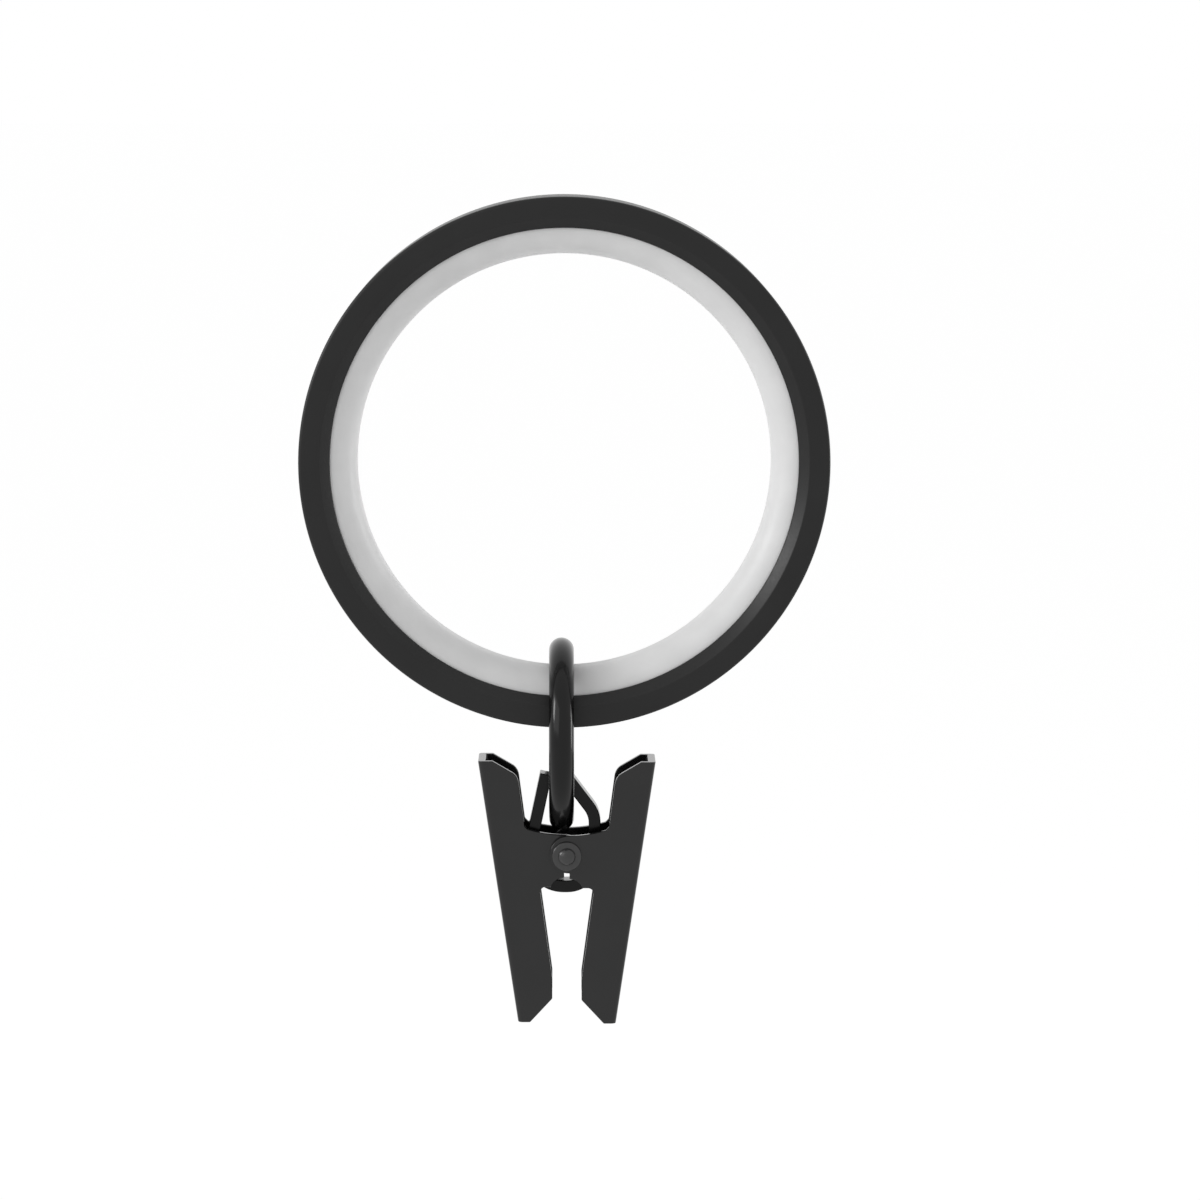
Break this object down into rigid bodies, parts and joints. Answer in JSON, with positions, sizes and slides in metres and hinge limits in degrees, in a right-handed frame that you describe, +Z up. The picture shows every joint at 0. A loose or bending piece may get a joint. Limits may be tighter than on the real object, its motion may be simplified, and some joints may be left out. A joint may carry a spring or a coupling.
{
  "type": "curtain ring with clip",
  "caption": "Black steel curtain ring with a white plastic sliding liner and a sprung two-jaw clip hanging from a wire ring",
  "frame": {"origin": "centre of the big ring, in the middle of its width", "axes": "+Y runs along the ring's axis from the front to the back, +Z up, +X to the right seen from the front; the clip hangs towards -Z"},
  "size_m": [0.0486, 0.0178, 0.0762],
  "materials": {
    "ring_coat": "matt black powder coat on steel",
    "liner_plastic": "white moulded acetal",
    "wire_coat": "semi-gloss black lacquer on steel wire",
    "clip_coat": "satin black electroplate and lacquer on sheet steel",
    "rivet_coat": "semi-gloss black lacquer on steel",
    "spring_steel": "blackened spring steel"
  },
  "bodies": {
    "ring": {"steel_ring": "ring_coat", "ring_liner": "liner_plastic"},
    "link": {"wire_ring": "wire_coat"},
    "strap": {"hanger_strap": "clip_coat", "pivot_rivet": "rivet_coat", "torsion_spring": "spring_steel"},
    "jaw_left": {"left_jaw": "clip_coat"},
    "jaw_right": {"right_jaw": "clip_coat"}
  },
  "joints": [
    {"name": "ring_travel", "type": "hinge", "parent": "ring", "child": "link", "pos_m": [0, 0, 0], "axis": [0, 1, 0], "continuous": true},
    {"name": "strap_swing", "type": "hinge", "parent": "link", "child": "strap", "pos_m": [-0.00028, 0, -0.02535], "axis": [1, 0, 0], "range_deg": [-30, 30]},
    {"name": "left_jaw_turn", "type": "hinge", "parent": "strap", "child": "jaw_left", "pos_m": [0.0002, 0, -0.03626], "axis": [0, 1, 0], "range_deg": [-5.7, 12], "stiffness_Nm_per_rad": 0.03, "deforming": ["torsion_spring"]},
    {"name": "right_jaw_turn", "type": "hinge", "parent": "strap", "child": "jaw_right", "pos_m": [0.0002, 0, -0.03626], "axis": [0, 1, 0], "range_deg": [-12, 5.7], "stiffness_Nm_per_rad": 0.03, "deforming": ["torsion_spring"]}
  ]
}
